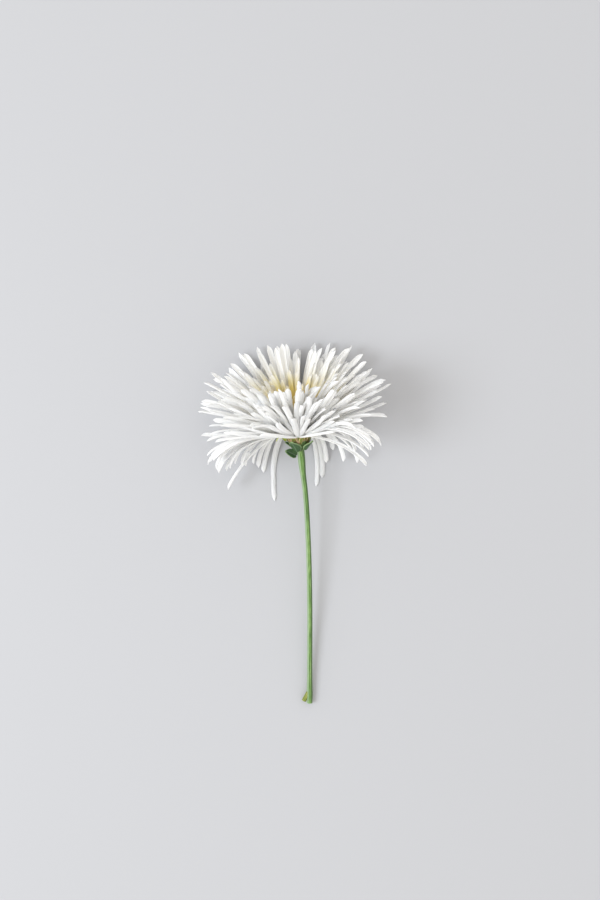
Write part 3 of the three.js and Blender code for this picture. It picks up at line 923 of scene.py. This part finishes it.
root = base + Vector((3.62 * MM, -STUB_SHARE * STEM_LENGTH, 1.7 * MM))
stub_way = Vector((-math.sin(STUB_SPREAD), -math.cos(STUB_SPREAD), -0.09))
stub_points = [root + stub_way * reach * MM for reach in (0, 1.8, 3.8, 5.6)]
ribbed_tube(
    "side_shoot_stub", stub_points,
    lambda share, co: (0.8 + 0.12 * share) * MM,
    section, 2, stub_finish,
)
bpy.data.objects.remove(section, do_unlink=True)

# %% [markdown]
# The cup under the bloom starts as a ring round the top of the stem, just above the pale throat.
# The ring is extruded along the axis and widened again and again until it reaches the rim, and is
# then drawn in over the dome.

# %% Cup and dome
FLARE_DEPTH = CUP_DEPTH - THROAT_LENGTH


def cup_radius(height):
    """The cup's radius at a height along the axis, which is 0 at the rim."""
    share = max(0, 1 + height / FLARE_DEPTH)
    return NECK_RADIUS + (RIM_RADIUS - NECK_RADIUS) * math.sin(share * math.pi / 2) ** 1.3


def cup_profile():
    """Height and radius of each ring, from inside the stem to near the top of the dome."""
    rings = [(-FLARE_DEPTH - 0.4 * MM, 0.9 * NECK_RADIUS)]
    for i in range(9):
        height = -FLARE_DEPTH * (1 - i / 8)
        rings.append((height, cup_radius(height)))
    for i in range(1, 6):
        down = math.pi / 2 * (1 - i / 6)
        rings.append((DOME_HEIGHT * math.cos(down), RIM_RADIUS * math.sin(down)))
    return rings


rings = cup_profile()
deselect_everything()
bpy.ops.mesh.primitive_circle_add(
    vertices=28, radius=rings[0][1], fill_type="NGON",
    location=RIM_CENTRE + AXIS * rings[0][0], rotation=AXIS.to_track_quat("Z", "Y").to_euler(),
)
cup = bpy.context.object
cup.name = "cup"
bpy.ops.object.transform_apply(location=True, rotation=True)
bpy.ops.object.mode_set(mode="EDIT")
for (low, before), (high, after) in zip(rings, rings[1:]):
    bpy.ops.mesh.extrude_region_move(TRANSFORM_OT_translate={"value": AXIS * (high - low)})
    grow_by = after / before
    bpy.ops.transform.resize(value=(grow_by,) * 3, center_override=RIM_CENTRE + AXIS * high)
bpy.ops.mesh.select_all(action="SELECT")
bpy.ops.mesh.normals_make_consistent(inside=False)
bpy.ops.object.mode_set(mode="OBJECT")
bpy.ops.object.shade_smooth_by_angle(angle=math.radians(50))
cup.data.materials.append(cup_finish)
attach(cup, "root")
print("cup faces:", len(cup.data.polygons))

# %% [markdown]
# Leaves and scales are blades too, so they are laid along a line in the same way as a petal. They
# need their own blanks: the leaf is widest in its lower half and comes to a point, and the scale
# is a short shield with a blunt tip. Both are folded slightly along the middle.

# %% Leaf and scale blanks


def blade_blank(name, columns, rows, outline, fold, thickness):
    blank = flat_blade(name, columns, rows)
    for vertex in blank.data.vertices:
        side = 2 * vertex.co.x
        share = vertex.co.y
        vertex.co.x = side * outline(share) / 2
        ridge = fold * (side * side - 0.12 * math.cos(side * math.pi * 3))
        vertex.co.z = ridge * math.sin(math.pi * min(1, 0.15 + share)) * MM
    thicken(blank, thickness * MM)
    return blank


def leaf_outline(share):
    """Half-width of the leaf from root to tip, with a slightly wavy edge."""
    wave = 1 + 0.05 * math.sin(28 * share)
    return max(0.10, math.sin(math.pi * (0.08 + 0.90 * share ** 0.8)) ** 0.8 * wave)


def scale_outline(share):
    """Half-width of the shield-shaped scale from root to blunt tip."""
    shoulder = 0.62 + 0.38 * math.sin(min(1, share * 1.35) * math.pi / 2)
    return max(0.22, shoulder * (1 - max(0, share - 0.62) / 0.38) ** 0.45)


leaf_blank = blade_blank("leaf_blank", 8, 14, leaf_outline, 0.5, 0.28)
scale_blank = blade_blank("scale_blank", 8, 10, scale_outline, -0.30, 0.26)
for blank in (leaf_blank, scale_blank):
    print("faces of", blank.name, len(blank.data.polygons))

# %% [markdown]
# Four small leaves stand round the neck, close to the cup. Each is laid along a line that starts
# just outside the cup, follows its flare and then bends away from it. A fifth leaf grows among
# the petals, and only its pale tip shows.

# %% Leaves
LEAVES = {
    # seat, azimuth, angles it leaves and arrives at, length, width, how far its face turns upwards
    "stem_leaf_left": (-9.4, 162, 18, 36, 5.8, 4.0, 1.6),
    "stem_leaf_front": (-6.6, 116, 4, 16, 7.6, 5.0, 0.0),
    "stem_leaf_right": (-6.4, 46, 12, 22, 6.8, 4.4, 0.0),
    "stem_leaf_under": (-7.4, 214, 20, 45, 6.0, 3.4, 0.0),
}
FLARE = math.degrees(math.atan((RIM_RADIUS - NECK_RADIUS) / FLARE_DEPTH))
for node, (seat, azimuth, leave, arrive, length, width, rolled) in LEAVES.items():
    over_scales = GAP + 0.5 * MM if seat * MM > -FLARE_DEPTH else 0
    clear = cup_radius(seat * MM) + GAP + 0.5 * MM + over_scales
    root = RIM_CENTRE + AXIS * seat * MM + radial(azimuth) * clear
    points = grow(
        root, polar(FLARE + leave, azimuth), polar(FLARE + arrive, azimuth),
        length * MM, LAYER_PITCH, 10,
    )
    rows = stations(points, (AXIS + UP * rolled).normalized())
    mesh = laid_mesh(leaf_blank, rows, width * MM, 0.5, "leaf_" + node)
    leaf = piece_from_meshes("leaf_" + node, [mesh], leaf_finish)
    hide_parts(node)

# A narrow yellow-green leaf tip looks out from among the petals on the left.
tip_root = RIM_CENTRE - AXIS * 1.5 * MM + radial(163) * (RIM_RADIUS + 1.2 * MM)
tip_end = NECK + Vector((-10.6, 6.6, 13.5)) * MM
arch = Vector((0, 2.6, 0.8)) * MM
points = [tip_root.lerp(tip_end, i / 8) + arch * math.sin(math.pi * i / 8) for i in range(9)]
mesh = laid_mesh(leaf_blank, stations(points, UP), 1.9 * MM, 0, "leaf_tip_left")
leaf = piece_from_meshes("leaf_tip_left", [mesh], tip_finish)
print("leaves:", len(LEAVES), "and one tip")

# %% [markdown]
# The scales under the bloom overlap in three rows, like tiles. The CAD model has the outer row of
# eight. Two more rows lie beneath it, a little longer each, so their papery tips show round
# the rim between the roots of the petals.

# %% Scales of the cup
OUTER_SCALES = 8
# how many, where each starts and ends as a share of the flare, its lift and its width
INNER_SCALES = [(9, -0.72, 0.16, 0.34, 3.2), (10, -0.50, 0.42, 0.18, 3.0)]


def scale_line(azimuth, first, last, lift, flare):
    """Points up the side of the cup, lifted off it, and bent outwards at the end."""
    points = []
    for i in range(9):
        height = (first + (last - first) * i / 8) * FLARE_DEPTH
        seat = min(0, height)
        slope = (cup_radius(seat + 0.1 * MM) - cup_radius(seat - 0.1 * MM)) / (0.2 * MM)
        away = Vector((1, -slope)).normalized() * lift
        reach = cup_radius(seat) + away.x + flare * (i / 8) ** 3
        points.append(RIM_CENTRE + AXIS * (height + away.y) + radial(azimuth) * reach)
    return points


for i in range(OUTER_SCALES):
    azimuth = 360 * (i + 0.5) / OUTER_SCALES
    rows = stations(scale_line(azimuth, -0.90, -0.10, 0.55 * MM, 0.15 * MM), radial(azimuth))
    mesh = laid_mesh(scale_blank, rows, 3.3 * MM, 0.5, f"scale_{i}")
    scale = piece_from_meshes(f"scale_outer_{i + 1:02d}", [mesh], scale_finish)
    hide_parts(f"involucral_bract_{i + 1:02d}")

meshes = []
for row, (count, first, last, lift, width) in enumerate(INNER_SCALES):
    for i in range(count):
        azimuth = 360 * (i + 0.3 * row) / count + 6 * vary(i, 20 + row)
        rows = stations(scale_line(azimuth, first, last, lift * MM, 0.5 * MM), radial(azimuth))
        meshes.append(laid_mesh(scale_blank, rows, width * MM, 0.5, f"inner_scale_{row}_{i}"))
inner_scales = piece_from_meshes("scales_inner", meshes, papery_finish)
print("scales:", OUTER_SCALES + len(meshes))

# %% [markdown]
# The eye is a tight cluster of tiny tubes with flared mouths. One tube is a narrow cylinder whose
# top face is widened, inset and pushed down, and the cluster repeats it in a spiral.

# %% Eye of the bloom
EYE_TUBES = 30
EYE_RADIUS = 2.0 * MM
GOLDEN_ANGLE = 137.508
TUBE_LENGTH = 4.2 * MM
deselect_everything()
bpy.ops.mesh.primitive_cylinder_add(
    vertices=10, radius=0.26 * MM, depth=TUBE_LENGTH, location=(0, 0, TUBE_LENGTH / 2),
)
bpy.ops.object.transform_apply(location=True)
tube = bpy.context.object
bpy.ops.object.mode_set(mode="EDIT")
shape = bmesh.from_edit_mesh(tube.data)
for face in shape.faces:
    face.select_set(face.normal.z > 0.9)
bmesh.update_edit_mesh(tube.data)
bpy.ops.mesh.extrude_region_move(TRANSFORM_OT_translate={"value": (0, 0, 0.35 * MM)})
bpy.ops.transform.resize(value=(1.5, 1.5, 1), center_override=(0, 0, 4.5 * MM))
bpy.ops.mesh.inset(thickness=0.10 * MM)
bpy.ops.transform.translate(value=(0, 0, -0.45 * MM))
bpy.ops.object.mode_set(mode="OBJECT")
bpy.ops.object.shade_smooth_by_angle(angle=math.radians(40))
meshes = []
upright = AXIS.to_track_quat("Z", "Y").to_matrix()
for i in range(EYE_TUBES):
    reach = EYE_RADIUS * math.sqrt((i + 0.3) / EYE_TUBES)
    turn = math.radians(i * GOLDEN_ANGLE)
    out = upright @ Vector((math.cos(turn), math.sin(turn), 0))
    round_about = upright @ Vector((-math.sin(turn), math.cos(turn), 0))
    lean = Quaternion(round_about, math.radians(7 * (reach / EYE_RADIUS)))
    height = DOME_HEIGHT * math.sqrt(max(0, 1 - (reach / RIM_RADIUS) ** 2)) - 0.1 * MM
    place = (
        Matrix.Translation(RIM_CENTRE + AXIS * height + out * reach)
        @ lean.to_matrix().to_4x4() @ upright.to_4x4()
    )
    size = 1 + 0.08 * vary(i, 30) - 0.12 * (1 - reach / EYE_RADIUS)
    mesh = tube.data.copy()
    mesh.transform(place @ Matrix.Scale(size, 4))
    meshes.append(mesh)
eye = piece_from_meshes("eye", meshes, eye_finish)
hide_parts("disc_florets")
bpy.data.objects.remove(tube, do_unlink=True)
print("faces of the eye:", len(eye.data.polygons))

# %% [markdown]
# The blanks were only there to be copied, so they are removed.

# %% Finish
for spare in (fine_blank, broad_blank, plain_blank, leaf_blank, scale_blank):
    bpy.data.objects.remove(spare, do_unlink=True)
